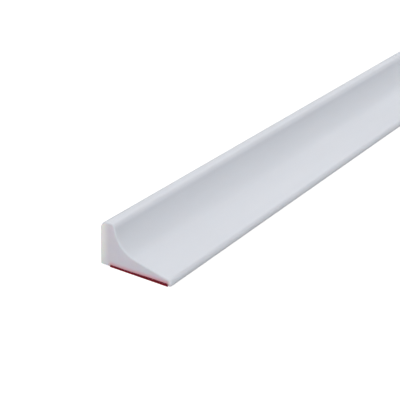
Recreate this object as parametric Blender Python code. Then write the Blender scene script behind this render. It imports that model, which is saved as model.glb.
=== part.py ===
"""Self-adhesive cove-profile door sweep: an extruded strip on lined double-sided acrylic tape.

The strip runs along X. Its thin toe faces -Y, its upright wall is at +Y, and the release liner's
underside is at Z = 0. The origin is the middle of the footprint.
"""
import math

import bmesh
import bpy
from mathutils import Vector

MM = 0.001

# Strip, overall
LENGTH = 609.6 * MM
WIDTH = 25.4 * MM
HEIGHT = 14.2 * MM            # from the base's underside to the top of the wall

# Cross-section
WALL = 5.2 * MM               # upright wall, from its back to the cove circle's nearest point
COVE_RADIUS = 9.2 * MM
RAMP_SLOPE = math.radians(12.2)
TOE_UPPER_RADIUS = 1.65 * MM
TOE_LOWER_RADIUS = 0.65 * MM
LIP_INNER_RADIUS = 1.7 * MM   # top of the wall, cove side
LIP_OUTER_RADIUS = 2.3 * MM   # top of the wall, back side
HEEL_RADIUS = 0.3 * MM        # foot of the wall, back side

# Tape
SEAT_DEPTH = 0.45 * MM        # shallow channel in the base that locates the tape
TAPE_TOE_MARGIN = 1.6 * MM
TAPE_WIDTH = 20.5 * MM
SEAT_SIDE_GAP = 0.1 * MM
LAYER_GAP = 0.02 * MM
LINER_THICKNESS = 0.13 * MM
ADHESIVE_THICKNESS = 0.08 * MM
CORE_THICKNESS = 0.38 * MM
LINER_OVERHANG = 0.15 * MM
TAPE_END_INSET = 0.1 * MM     # the tape stops this far short of each cut end

TAPE_LAYERS = (
    ("release_liner", LINER_THICKNESS, LINER_OVERHANG),
    ("lower_adhesive", ADHESIVE_THICKNESS, 0.0),
    ("tape_core", CORE_THICKNESS, 0.0),
    ("upper_adhesive", ADHESIVE_THICKNESS, 0.0),
)

STACK_HEIGHT = sum(thickness + LAYER_GAP for _, thickness, _ in TAPE_LAYERS)
BASE_Z = STACK_HEIGHT - SEAT_DEPTH
TOP_Z = BASE_Z + HEIGHT
TOE_Y = -WIDTH / 2
BACK_Y = WIDTH / 2
TAPE_Y = (TOE_Y + TAPE_TOE_MARGIN, TOE_Y + TAPE_TOE_MARGIN + TAPE_WIDTH)

COLOURS = {
    "extruded_profile": ((0.75, 0.76, 0.80), 0.42),
    "upper_adhesive": ((0.40, 0.010, 0.025), 0.25),
    "tape_core": ((0.30, 0.008, 0.020), 0.45),
    "lower_adhesive": ((0.40, 0.010, 0.025), 0.25),
    "release_liner": ((0.60, 0.012, 0.025), 0.28),
}


def clear_scene():
    for obj in list(bpy.data.objects):
        bpy.data.objects.remove(obj, do_unlink=True)


def make_collection(name):
    collection = bpy.data.collections.new(name)
    bpy.context.scene.collection.children.link(collection)
    return collection


def make_material(name):
    colour, roughness = COLOURS[name]
    material = bpy.data.materials.new(name)
    material.use_nodes = True
    shader = material.node_tree.nodes["Principled BSDF"]
    shader.inputs["Base Color"].default_value = (*colour, 1.0)
    shader.inputs["Roughness"].default_value = roughness
    shader.inputs["Metallic"].default_value = 0.0
    return material


def arc(centre, radius, start, end, steps):
    """Points (y, z) of a round stretch, from one angle to another."""
    turns = [start + (end - start) * i / steps for i in range(steps + 1)]
    return [centre + radius * Vector((math.cos(a), math.sin(a))) for a in turns]


def toe_arc():
    """The rounded toe, from the base's underside round to the foot of the ramp."""
    lower = Vector((TOE_Y + TOE_LOWER_RADIUS, BASE_Z + TOE_LOWER_RADIUS))
    upper = Vector((TOE_Y + TOE_UPPER_RADIUS, BASE_Z + TOE_LOWER_RADIUS))
    under = arc(lower, TOE_LOWER_RADIUS, math.radians(270), math.radians(180), 6)
    over = arc(upper, TOE_UPPER_RADIUS, math.radians(180), math.radians(90) + RAMP_SLOPE, 9)
    return under + over[1:]


def cove_and_lip(ramp_start):
    """The cove, tangent to the ramp, and the lip's inner round, tangent to the cove and the top."""
    cove_y = BACK_Y - WALL - COVE_RADIUS
    rise = math.tan(RAMP_SLOPE) * (cove_y - ramp_start.x) + COVE_RADIUS / math.cos(RAMP_SLOPE)
    cove_centre = Vector((cove_y, ramp_start.y + rise))
    lip_z = TOP_Z - LIP_INNER_RADIUS
    reach = COVE_RADIUS + LIP_INNER_RADIUS
    meeting = math.asin((lip_z - cove_centre.y) / reach)
    lip_centre = Vector((cove_centre.x + reach * math.cos(meeting), lip_z))
    cove = arc(cove_centre, COVE_RADIUS, RAMP_SLOPE - math.radians(90), meeting, 24)
    lip = arc(lip_centre, LIP_INNER_RADIUS, math.radians(180) + meeting, math.radians(90), 8)
    return cove + lip[1:]


def back_rounds():
    """The top's outer round and the heel's round, joined by the flat back wall."""
    top = Vector((BACK_Y - LIP_OUTER_RADIUS, TOP_Z - LIP_OUTER_RADIUS))
    heel = Vector((BACK_Y - HEEL_RADIUS, BASE_Z + HEEL_RADIUS))
    return (arc(top, LIP_OUTER_RADIUS, math.radians(90), 0.0, 12)
            + arc(heel, HEEL_RADIUS, 0.0, math.radians(-90), 4))


def tape_seat():
    """The shallow channel in the base, from its back side to its toe side."""
    toe_side = TAPE_Y[0] - SEAT_SIDE_GAP
    back_side = TAPE_Y[1] + SEAT_SIDE_GAP
    ceiling = BASE_Z + SEAT_DEPTH
    return [Vector((back_side, BASE_Z)), Vector((back_side, ceiling)),
            Vector((toe_side, ceiling)), Vector((toe_side, BASE_Z))]


def profile_outline():
    toe = toe_arc()
    return toe + cove_and_lip(toe[-1]) + back_rounds() + tape_seat()


def make_profile(collection):
    """The strip: its outline, drawn in the YZ plane and extruded along X."""
    outline = profile_outline()
    curve = bpy.data.curves.new("extruded_profile", "CURVE")
    curve.dimensions = "2D"
    curve.fill_mode = "BOTH"
    curve.extrude = LENGTH / 2
    spline = curve.splines.new("POLY")
    spline.points.add(len(outline) - 1)
    for point, place in zip(spline.points, outline):
        point.co = (place.x, place.y, 0.0, 1.0)
    spline.use_cyclic_u = True
    profile = bpy.data.objects.new("extruded_profile", curve)
    profile.rotation_euler = (math.radians(90), 0.0, math.radians(90))
    curve.materials.append(make_material("extruded_profile"))
    collection.objects.link(profile)


def make_layer(collection, name, bottom, thickness, overhang):
    """One flat layer of the tape, placed by its underside."""
    size = Vector((LENGTH - 2 * TAPE_END_INSET, TAPE_WIDTH + 2 * overhang, thickness))
    mesh = bpy.data.meshes.new(name)
    shape = bmesh.new()
    bmesh.ops.create_cube(shape, size=1.0)
    bmesh.ops.scale(shape, vec=size, verts=shape.verts)
    shape.to_mesh(mesh)
    shape.free()
    mesh.materials.append(make_material(name))
    layer = bpy.data.objects.new(name, mesh)
    layer.location = (0.0, sum(TAPE_Y) / 2, bottom + thickness / 2)
    collection.objects.link(layer)


def make_tape(collection):
    bottom = 0.0
    for name, thickness, overhang in TAPE_LAYERS:
        make_layer(collection, name, bottom, thickness, overhang)
        bottom += thickness + LAYER_GAP


def main():
    clear_scene()
    collection = make_collection("door_sweep")
    make_profile(collection)
    make_tape(collection)


main()
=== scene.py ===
"""Looks of the self-adhesive cove-profile door sweep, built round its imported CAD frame.

The strip runs along X, its thin toe faces -Y and its upright wall is at +Y. Lengths are in metres.
"""
import math

import bmesh
import bpy
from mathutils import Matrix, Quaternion, Vector, noise


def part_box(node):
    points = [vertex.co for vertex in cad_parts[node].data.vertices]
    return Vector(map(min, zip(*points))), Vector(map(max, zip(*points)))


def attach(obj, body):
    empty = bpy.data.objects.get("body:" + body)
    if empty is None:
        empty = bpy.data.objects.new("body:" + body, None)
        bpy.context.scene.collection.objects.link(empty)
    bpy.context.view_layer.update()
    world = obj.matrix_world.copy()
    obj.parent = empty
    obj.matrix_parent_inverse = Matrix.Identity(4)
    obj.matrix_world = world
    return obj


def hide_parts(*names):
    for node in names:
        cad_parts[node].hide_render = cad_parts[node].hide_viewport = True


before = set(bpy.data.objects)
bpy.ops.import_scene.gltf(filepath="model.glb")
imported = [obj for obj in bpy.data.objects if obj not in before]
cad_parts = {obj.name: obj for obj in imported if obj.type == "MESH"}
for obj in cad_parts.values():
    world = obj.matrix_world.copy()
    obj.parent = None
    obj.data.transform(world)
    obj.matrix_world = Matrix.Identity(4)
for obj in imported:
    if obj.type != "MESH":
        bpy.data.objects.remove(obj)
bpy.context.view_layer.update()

MM = 0.001

# Cross-section of the extrusion, as in the CAD
WALL = 5.2 * MM
COVE_RADIUS = 9.2 * MM
RAMP_SLOPE = math.radians(12.2)
TOE_UPPER_RADIUS = 1.65 * MM
TOE_LOWER_RADIUS = 0.65 * MM
LIP_INNER_RADIUS = 1.7 * MM
LIP_OUTER_RADIUS = 2.3 * MM
HEEL_RADIUS = 0.3 * MM
SEAT_DEPTH = 0.45 * MM
SEAT_SIDE_GAP = 0.1 * MM

PROFILE_LOW, PROFILE_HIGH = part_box("extruded_profile")
TAPE_LOW, TAPE_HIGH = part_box("tape_core")
TOE_Y, BACK_Y = PROFILE_LOW.y, PROFILE_HIGH.y
BASE_Z, TOP_Z = PROFILE_LOW.z, PROFILE_HIGH.z

# Cut ends and the small unevenness of an extruded strip
CUT_ROUNDING = 0.45 * MM
ROUNDING_STEPS = 7
CRISP_SHARE = 0.2             # the cut is much crisper along the flat base and back
CRISP_BLEND = 1.2 * MM
SECTION_SPACING = 6 * MM
UNEVENNESS = 0.045 * MM
WAVE_RATE = 22.0              # slow variation along the strip, per metre
TAPE_SPACING = 2.5 * MM
TAPE_WAVE_RATE = 66.0         # slit edges of the tape vary faster
SMOOTH_ANGLE = math.radians(40)

# Painted light and shade on the cut end: a dark red shade above the tape, a pink glow over it, and a
# pale glow at the back edge
PAINTED_SHADE_RISE = 0.2 * MM         # how much higher the painted dark red shade stands at the toe than at the back
PAINTED_SHADE_REACH = 0.25 * MM
PINK_GLOW_REACH = 2.0 * MM
PINK_GLOW_EDGE = 0.8 * MM
BACK_GLOW_REACH = 3.3 * MM          # how far the painted glow reaches in from the back of the wall

# Colours of the cut end, three of them painted light and shade: a glow at the back edge, a pink glow
# and a dark red shade
CUT_DARK = (0.710, 0.695, 0.760)
CUT_PALE = (0.735, 0.720, 0.785)
# painted glow: light coming through the back edge, painted as near-white
CUT_PAINTED_GLOW = (0.97, 0.965, 0.97)
# painted glow: red light from the tape, painted as pink
CUT_PAINTED_PINK_GLOW = (0.76, 0.38, 0.46)
# painted shade: dark red at the foot of the cut end, above the tape
CUT_PAINTED_SHADE = (0.23, 0.005, 0.018)

# Stage
FLOOR_SIZE = 16.0
FLOOR_GAP = 0.02 * MM
FLOOR_COLOUR = (0.25, 0.25, 0.25)
FLOOR_GLOW = 0.95
BACKDROP_RADIUS = 7.9
SKY_ZENITH = 0.39
SKY_HORIZON = 0.41
SOFTNESS = math.radians(50)
# Soft lights: bearing from the toe's side towards the far end (degrees), height (degrees), strength
LIGHTS = ((0, 20, 0.14), (60, 50, 0.06), (120, 44, 0.29), (240, 20, 0.22), (300, 20, 0.33))

# Camera, placed from the near end's lower toe corner
LENS = 102.3
SENSOR_WIDTH = 36.0
CLIP_START = 0.01
CAMERA_OFFSET = Vector((-237.6, -158.8, 159.6)) * MM
CAMERA_TURN = math.radians(32.27)     # from +X towards +Y
CAMERA_TILT = math.radians(24.74)     # downwards
CAMERA_ROLL = math.radians(1.81)


# ---------------------------------------------------------------- materials

class Nodes:
    """Short-hand for building one material's node tree."""

    def __init__(self, name):
        self.material = bpy.data.materials.new(name)
        self.material.use_nodes = True
        self.tree = self.material.node_tree
        self.shader = self.tree.nodes["Principled BSDF"]
        self.place = self.add("ShaderNodeTexCoord").outputs["Object"]

    def add(self, kind, **values):
        node = self.tree.nodes.new(kind)
        for name, value in values.items():
            setattr(node, name, value)
        return node

    def link(self, start, end):
        self.tree.links.new(start, end)

    def stretched(self, scale):
        """Object coordinates in millimetres, scaled along each axis."""
        mapping = self.add("ShaderNodeMapping")
        mapping.inputs["Scale"].default_value = [s / MM for s in scale]
        self.link(self.place, mapping.inputs["Vector"])
        return mapping.outputs["Vector"]

    def noise(self, scale, detail=3.0, roughness=0.5):
        texture = self.add("ShaderNodeTexNoise")
        texture.inputs["Scale"].default_value = 1.0
        texture.inputs["Detail"].default_value = detail
        texture.inputs["Roughness"].default_value = roughness
        self.link(self.stretched(scale), texture.inputs["Vector"])
        return texture.outputs["Fac"]

    def cells(self, scale):
        texture = self.add("ShaderNodeTexVoronoi")
        texture.inputs["Scale"].default_value = 1.0
        self.link(self.stretched(scale), texture.inputs["Vector"])
        return texture.outputs["Distance"]

    def ramp(self, value, stops):
        """A colour ramp over value: stops are (position, colour)."""
        node = self.add("ShaderNodeValToRGB")
        ramp = node.color_ramp
        while len(ramp.elements) < len(stops):
            ramp.elements.new(1.0)
        for element, (position, colour) in zip(ramp.elements, stops):
            element.position = position
            element.color = (*colour, 1.0)
        self.link(value, node.inputs["Fac"])
        return node.outputs["Color"]

    def between(self, value, low, high):
        """value, from 0.3 to 0.7 as noise gives it, mapped to a range."""
        node = self.add("ShaderNodeMapRange")
        node.inputs["From Min"].default_value = 0.3
        node.inputs["From Max"].default_value = 0.7
        node.inputs["To Min"].default_value = low
        node.inputs["To Max"].default_value = high
        self.link(value, node.inputs["Value"])
        return node.outputs["Result"]

    def fade(self, value, start, end):
        """1 below start, falling smoothly to 0 at end."""
        node = self.add("ShaderNodeMapRange", interpolation_type="SMOOTHSTEP")
        node.inputs["From Min"].default_value = start
        node.inputs["From Max"].default_value = end
        node.inputs["To Min"].default_value = 1.0
        node.inputs["To Max"].default_value = 0.0
        self.link(value, node.inputs["Value"])
        return node.outputs["Result"]

    def arithmetic(self, operation, first, second):
        """A sum, difference or product, where each term is a number or an output."""
        node = self.add("ShaderNodeMath", operation=operation)
        for term, socket in zip((first, second), node.inputs):
            if isinstance(term, float):
                socket.default_value = term
            else:
                self.link(term, socket)
        return node.outputs["Value"]

    def product(self, first, second):
        return self.arithmetic("MULTIPLY", first, second)

    def inverse(self, value):
        """1 minus value."""
        return self.arithmetic("SUBTRACT", 1.0, value)

    def mixed(self, share, colour, other):
        """A colour output, mixed towards a fixed colour by share."""
        node = self.add("ShaderNodeMix", data_type="RGBA")
        self.link(share, node.inputs["Factor"])
        self.link(colour, node.inputs[6])
        node.inputs[7].default_value = (*other, 1.0)
        return node.outputs[2]

    def bump(self, height, depth, before=None):
        node = self.add("ShaderNodeBump")
        node.inputs["Distance"].default_value = depth
        node.inputs["Strength"].default_value = 1.0
        self.link(height, node.inputs["Height"])
        if before:
            self.link(before, node.inputs["Normal"])
        return node.outputs["Normal"]

    def set(self, **values):
        """Uniform values, put on the shader's own sockets."""
        for name, value in values.items():
            self.shader.inputs[name.replace("_", " ")].default_value = value


def vinyl():
    """Soft white extruded vinyl: satin, faintly translucent, with fine lines along the extrusion."""
    m = Nodes("white_vinyl")
    mottle = m.noise((0.02, 0.12, 0.12), 4.0)
    die_lines = m.noise((0.004, 2.2, 2.2), 3.0)
    peel = m.noise((0.9, 1.4, 1.4), 2.0)
    m.link(m.ramp(mottle, ((0.3, (0.715, 0.740, 0.795)), (0.7, (0.735, 0.760, 0.815)))),
           m.shader.inputs["Base Color"])
    m.link(m.between(die_lines, 0.36, 0.50), m.shader.inputs["Roughness"])
    lines = m.bump(die_lines, 0.012 * MM)
    m.link(m.bump(peel, 0.006 * MM, before=lines), m.shader.inputs["Normal"])
    m.set(IOR=1.5, Subsurface_Weight=0.35, Subsurface_Scale=0.0012, Specular_IOR_Level=0.35)
    m.shader.inputs["Subsurface Radius"].default_value = (1.0, 0.85, 0.8)
    return m.material


def cut_face():
    """The knife-cut end of the translucent vinyl: matt, with faint drag streaks from the blade.

    Painted light and shade: a dark red shade above the tape at its foot, standing higher
    towards the toe, a pink glow over it, and a pale glow along the back edge.
    """
    m = Nodes("cut_vinyl")
    streaks = m.noise((0.2, 0.5, 7.0), 3.0)
    blotches = m.noise((0.3, 0.25, 0.25), 3.0)
    parts = m.add("ShaderNodeSeparateXYZ")
    m.link(m.place, parts.inputs["Vector"])
    breadth, height = parts.outputs["Y"], parts.outputs["Z"]

    seat_top = BASE_Z + SEAT_DEPTH
    towards_toe = m.fade(breadth, -6.0 * MM, 4.5 * MM)
    level = m.arithmetic("SUBTRACT", height, m.product(towards_toe, PAINTED_SHADE_RISE))
    over_tape = m.product(m.fade(breadth, TAPE_HIGH.y - PINK_GLOW_EDGE, TAPE_HIGH.y + PINK_GLOW_EDGE),
                          m.inverse(m.fade(breadth, TAPE_LOW.y - PINK_GLOW_EDGE, TAPE_LOW.y)))
    # painted pink glow from the tape's red light, fading upwards from the seat
    painted_pink_glow = m.fade(level, seat_top, seat_top + PINK_GLOW_REACH)
    # painted shade: dark red just above the tape, higher towards the toe
    painted_shade = m.fade(level, seat_top, seat_top + PAINTED_SHADE_REACH)
    # painted glow: lighter towards the back edge of the cut end
    painted_back_glow = m.inverse(m.fade(breadth, BACK_Y - BACK_GLOW_REACH, BACK_Y - 0.2 * MM))

    plain = m.ramp(blotches, ((0.3, CUT_DARK), (0.7, CUT_PALE)))
    lit = m.mixed(painted_back_glow, plain, CUT_PAINTED_GLOW)
    pink = m.mixed(m.product(m.product(painted_pink_glow, painted_pink_glow), over_tape), lit, CUT_PAINTED_PINK_GLOW)
    # painted dark red shade over the painted pink glow over the painted back-edge glow
    m.link(m.mixed(m.product(painted_shade, over_tape), pink, CUT_PAINTED_SHADE), m.shader.inputs["Base Color"])
    m.link(m.between(streaks, 0.5, 0.7), m.shader.inputs["Roughness"])
    m.link(m.bump(streaks, 0.02 * MM), m.shader.inputs["Normal"])
    m.set(IOR=1.5, Subsurface_Weight=0.35, Subsurface_Scale=0.0012, Specular_IOR_Level=0.3)
    return m.material


def tape_core():
    """Clear soft acrylic, deep red all through from the liner under it, with tiny bubbles."""
    m = Nodes("tape_core_acrylic")
    bubbles = m.cells((5.0, 5.0, 5.0))
    cloud = m.noise((0.1, 0.4, 2.0), 3.0)
    m.link(m.ramp(cloud, ((0.3, (0.15, 0.003, 0.009)), (0.7, (0.25, 0.007, 0.020)))),
           m.shader.inputs["Base Color"])
    m.link(m.between(cloud, 0.30, 0.50), m.shader.inputs["Roughness"])
    m.link(m.bump(bubbles, 0.02 * MM), m.shader.inputs["Normal"])
    m.set(IOR=1.47, Subsurface_Weight=0.3, Subsurface_Scale=0.0006, Specular_IOR_Level=0.3)
    m.shader.inputs["Subsurface Radius"].default_value = (1.0, 0.15, 0.15)
    return m.material


def adhesive():
    """Tacky acrylic coat: the same deep red, a little lighter and glossier than the core."""
    m = Nodes("acrylic_adhesive")
    streaks = m.noise((0.05, 1.2, 1.2), 3.0)
    m.link(m.ramp(streaks, ((0.3, (0.24, 0.010, 0.020)), (0.7, (0.33, 0.018, 0.034)))),
           m.shader.inputs["Base Color"])
    m.link(m.between(streaks, 0.12, 0.3), m.shader.inputs["Roughness"])
    m.link(m.bump(streaks, 0.01 * MM), m.shader.inputs["Normal"])
    m.set(IOR=1.47, Transmission_Weight=0.35)
    return m.material


def liner_film():
    """Red polyethylene film: glossy, with the draw lines of a stretched film."""
    m = Nodes("red_liner_film")
    draw = m.noise((0.006, 1.6, 1.6), 3.0)
    cloud = m.noise((0.08, 0.15, 0.15), 3.0)
    m.link(m.ramp(cloud, ((0.3, (0.40, 0.006, 0.018)), (0.7, (0.50, 0.011, 0.028)))),
           m.shader.inputs["Base Color"])
    m.link(m.between(draw, 0.18, 0.34), m.shader.inputs["Roughness"])
    m.link(m.bump(draw, 0.008 * MM), m.shader.inputs["Normal"])
    m.set(IOR=1.5, Subsurface_Weight=0.15, Subsurface_Scale=0.0005, Specular_IOR_Level=0.35)
    return m.material


# ---------------------------------------------------------------- shapes

def arc(centre, radius, start, end, steps):
    """Points (y, z) of a round stretch, from one angle to another, in degrees."""
    turns = [math.radians(start + (end - start) * i / steps) for i in range(steps + 1)]
    return [centre + radius * Vector((math.cos(a), math.sin(a))) for a in turns]


def crisped(point, inset):
    """The point, moved out near the base and the back, where a cut end's rounding is crisper."""
    slack = inset * (1 - CRISP_SHARE)
    above = (point.y - BASE_Z - inset) / CRISP_BLEND
    ahead = (BACK_Y - inset - point.x) / CRISP_BLEND
    return point + Vector((slack * max(0.0, 1 - ahead), -slack * max(0.0, 1 - above)))


def profile_outline(inset):
    """The extrusion's cross-section (y, z), shrunk by inset all round."""
    slope = math.degrees(RAMP_SLOPE)
    lower = Vector((TOE_Y + TOE_LOWER_RADIUS, BASE_Z + TOE_LOWER_RADIUS))
    upper = Vector((TOE_Y + TOE_UPPER_RADIUS, BASE_Z + TOE_LOWER_RADIUS))
    toe = (arc(lower, TOE_LOWER_RADIUS - inset, 270, 180, 8)
           + arc(upper, TOE_UPPER_RADIUS - inset, 180, 90 + slope, 14)[1:])

    ramp_foot = arc(upper, TOE_UPPER_RADIUS, 90 + slope, 90 + slope, 1)[0]
    cove_y = BACK_Y - WALL - COVE_RADIUS
    rise = math.tan(RAMP_SLOPE) * (cove_y - ramp_foot.x) + COVE_RADIUS / math.cos(RAMP_SLOPE)
    cove_centre = Vector((cove_y, ramp_foot.y + rise))
    reach = COVE_RADIUS + LIP_INNER_RADIUS
    lip_z = TOP_Z - LIP_INNER_RADIUS
    meeting = math.asin((lip_z - cove_centre.y) / reach)
    lip_centre = Vector((cove_centre.x + reach * math.cos(meeting), lip_z))
    meeting = math.degrees(meeting)
    cove = arc(cove_centre, COVE_RADIUS + inset, slope - 90, meeting, 36)
    lip = arc(lip_centre, LIP_INNER_RADIUS - inset, 180 + meeting, 90, 14)

    top = Vector((BACK_Y - LIP_OUTER_RADIUS, TOP_Z - LIP_OUTER_RADIUS))
    shoulder = arc(top, LIP_OUTER_RADIUS - inset, 90, 0, 14)
    corner = max(HEEL_RADIUS, inset)
    heel = arc(Vector((BACK_Y - corner, BASE_Z + corner)), corner - inset, 0, -90, 5)

    rounded = [crisped(point, inset) for point in toe + cove + lip[1:] + shoulder + heel]
    crisp = inset * CRISP_SHARE
    seat_toe = TAPE_LOW.y - SEAT_SIDE_GAP - crisp
    seat_back = TAPE_HIGH.y + SEAT_SIDE_GAP + crisp
    underside = BASE_Z + crisp
    ceiling = underside + SEAT_DEPTH
    seat = [Vector(p) for p in ((seat_back, underside), (seat_back, ceiling),
                                (seat_toe, ceiling), (seat_toe, underside))]
    return rounded + seat


def wobble(x, seed, rate=WAVE_RATE):
    """A slow, smooth variation between 0 and 1 along the strip."""
    return 0.5 + 0.5 * noise.noise(Vector((x * rate, seed, 0.5)))


def strip_sections(low, high, rounding):
    """Stations (x, inset) along the strip: a rounded edge at each cut end, slow variation between."""
    quarter = [math.radians(90) * i / ROUNDING_STEPS for i in range(ROUNDING_STEPS + 1)]
    near = [(low + rounding * (1 - math.cos(a)), rounding * (1 - math.sin(a))) for a in quarter]
    far = [(low + high - x, inset) for x, inset in reversed(near)]
    first, last = near[-1][0], far[0][0]
    count = round((last - first) / SECTION_SPACING)
    middle = [(first + (last - first) * i / count,
               UNEVENNESS * wobble(first + i * SECTION_SPACING, 3.0)) for i in range(1, count)]
    return near + middle + far


def loft(name, rings, materials, cap_slot=0):
    """A closed body through rings of points, with flat caps."""
    shape = bmesh.new()
    rows = [[shape.verts.new(p) for p in ring] for ring in rings]
    size = len(rows[0])
    for row, following in zip(rows, rows[1:]):
        for i in range(size):
            j = (i + 1) % size
            shape.faces.new((row[i], row[j], following[j], following[i])).smooth = True
    for row in (rows[0][::-1], rows[-1]):
        shape.faces.new(row).material_index = cap_slot
    bmesh.ops.recalc_face_normals(shape, faces=shape.faces)
    bmesh.ops.triangulate(shape, faces=[f for f in shape.faces if len(f.verts) > 4])
    mesh = bpy.data.meshes.new(name)
    shape.to_mesh(mesh)
    shape.free()
    mesh.set_sharp_from_angle(angle=SMOOTH_ANGLE)
    for material in materials:
        mesh.materials.append(material)
    piece = bpy.data.objects.new(name, mesh)
    bpy.context.scene.collection.objects.link(piece)
    return piece


def stand_for(piece, node, body):
    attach(piece, body)
    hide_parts(node)


def make_extrusion():
    rings = [[Vector((x, p.x, p.y)) for p in profile_outline(inset)]
             for x, inset in strip_sections(PROFILE_LOW.x, PROFILE_HIGH.x, CUT_ROUNDING)]
    piece = loft("vinyl_extrusion", rings, (vinyl(), cut_face()), cap_slot=1)
    stand_for(piece, "extruded_profile", "strip")


def ribbon(name, node, body, material, edge_wander, rounding):
    """A thin flat layer of the tape, with edges that wander slightly as slit tape does."""
    low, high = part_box(node)
    count = round((high.x - low.x) / TAPE_SPACING)
    rings = []
    for i in range(count + 1):
        x = low.x + (high.x - low.x) * i / count
        toe = low.y + edge_wander * wobble(x, 7.0, TAPE_WAVE_RATE)
        back = high.y - edge_wander * wobble(x, 11.0, TAPE_WAVE_RATE)
        ring = rounded_box(toe, back, low.z, high.z, rounding)
        rings.append([Vector((x, y, z)) for y, z in ring])
    piece = loft(name, rings, (material,))
    stand_for(piece, node, body)


def rounded_box(left, right, bottom, top, radius):
    """A rectangle (y, z) with small rounded corners."""
    corners = ((right - radius, top - radius, 90), (right - radius, bottom + radius, 0),
               (left + radius, bottom + radius, -90), (left + radius, top - radius, 180))
    points = []
    for y, z, start in corners:
        points += arc(Vector((y, z)), radius, start, start - 90, 3)
    return points


# ---------------------------------------------------------------- stage

def make_floor():
    """A pale floor that glows just enough to stay white, without lighting the strip from below."""
    mesh = bpy.data.meshes.new("floor")
    shape = bmesh.new()
    bmesh.ops.create_grid(shape, x_segments=1, y_segments=1, size=FLOOR_SIZE / 2)
    shape.to_mesh(mesh)
    shape.free()
    m = Nodes("pale_floor")
    m.set(Base_Color=(*FLOOR_COLOUR, 1.0), Roughness=1.0, Specular_IOR_Level=0.0,
          Emission_Color=(1.0, 1.0, 1.0, 1.0), Emission_Strength=FLOOR_GLOW)
    mesh.materials.append(m.material)
    floor = bpy.data.objects.new("floor", mesh)
    floor.location.z = -FLOOR_GAP
    bpy.context.scene.collection.objects.link(floor)
    lit_by_floor = bpy.data.collections.new("lit_by_floor")
    lit_by_floor.objects.link(floor)
    floor.light_linking.receiver_collection = lit_by_floor


def make_backdrop():
    """A white surround that the camera sees behind the floor, and that lights nothing."""
    mesh = bpy.data.meshes.new("backdrop")
    shape = bmesh.new()
    bmesh.ops.create_uvsphere(shape, u_segments=48, v_segments=24, radius=BACKDROP_RADIUS)
    shape.to_mesh(mesh)
    shape.free()
    m = Nodes("white_backdrop")
    m.set(Base_Color=(0.0, 0.0, 0.0, 1.0), Roughness=1.0, Specular_IOR_Level=0.0,
          Emission_Color=(1.0, 1.0, 1.0, 1.0), Emission_Strength=1.0)
    mesh.materials.append(m.material)
    backdrop = bpy.data.objects.new("backdrop", mesh)
    backdrop.visible_diffuse = False
    backdrop.visible_glossy = False
    backdrop.visible_transmission = False
    backdrop.visible_shadow = False
    bpy.context.scene.collection.objects.link(backdrop)


def make_sky():
    """Dim even fill from all round, a little brighter at the horizon."""
    world = bpy.data.worlds.new("studio")
    bpy.context.scene.world = world
    world.use_nodes = True
    tree = world.node_tree
    place = tree.nodes.new("ShaderNodeTexCoord")
    parts = tree.nodes.new("ShaderNodeSeparateXYZ")
    height = tree.nodes.new("ShaderNodeMapRange")
    height.inputs["From Min"].default_value = 0.0
    height.inputs["From Max"].default_value = 1.0
    height.inputs["To Min"].default_value = SKY_HORIZON
    height.inputs["To Max"].default_value = SKY_ZENITH
    background = tree.nodes["Background"]
    background.inputs["Color"].default_value = (1.0, 1.0, 1.0, 1.0)
    tree.links.new(place.outputs["Generated"], parts.inputs["Vector"])
    tree.links.new(parts.outputs["Z"], height.inputs["Value"])
    tree.links.new(height.outputs["Result"], background.inputs["Strength"])


def make_lights():
    """Large soft lights round the strip, each as wide as a softbox close by."""
    for number, (bearing, height, strength) in enumerate(LIGHTS, 1):
        data = bpy.data.lights.new(f"soft_light_{number}", "SUN")
        data.angle = SOFTNESS
        data.energy = math.pi * strength
        light = bpy.data.objects.new(data.name, data)
        turn, rise = math.radians(bearing), math.radians(height)
        source = Vector((math.sin(turn) * math.cos(rise), -math.cos(turn) * math.cos(rise),
                         math.sin(rise)))
        light.rotation_mode = "QUATERNION"
        light.rotation_quaternion = source.to_track_quat("Z", "Y")
        bpy.context.scene.collection.objects.link(light)


def make_camera():
    data = bpy.data.cameras.new("camera")
    data.lens = LENS
    data.sensor_width = SENSOR_WIDTH
    data.clip_start = CLIP_START
    camera = bpy.data.objects.new("camera", data)
    bpy.context.scene.collection.objects.link(camera)
    near_corner = Vector((PROFILE_LOW.x, TOE_Y, BASE_Z))
    camera.location = near_corner + CAMERA_OFFSET
    level = math.cos(CAMERA_TILT)
    forward = Vector((math.cos(CAMERA_TURN) * level, math.sin(CAMERA_TURN) * level,
                      -math.sin(CAMERA_TILT)))
    camera.rotation_mode = "QUATERNION"
    camera.rotation_quaternion = (forward.to_track_quat("-Z", "Y")
                                  @ Quaternion((0.0, 0.0, 1.0), CAMERA_ROLL))
    bpy.context.scene.camera = camera


bpy.context.scene.view_settings.view_transform = "Standard"
make_extrusion()
ribbon("acrylic_core", "tape_core", "strip", tape_core(), 0.06 * MM, 0.04 * MM)
ribbon("upper_adhesive_coat", "upper_adhesive", "strip", adhesive(), 0.05 * MM, 0.01 * MM)
ribbon("lower_adhesive_coat", "lower_adhesive", "strip", adhesive(), 0.05 * MM, 0.01 * MM)
ribbon("red_liner", "release_liner", "liner", liner_film(), 0.05 * MM, 0.02 * MM)
make_floor()
make_backdrop()
make_sky()
make_lights()
make_camera()
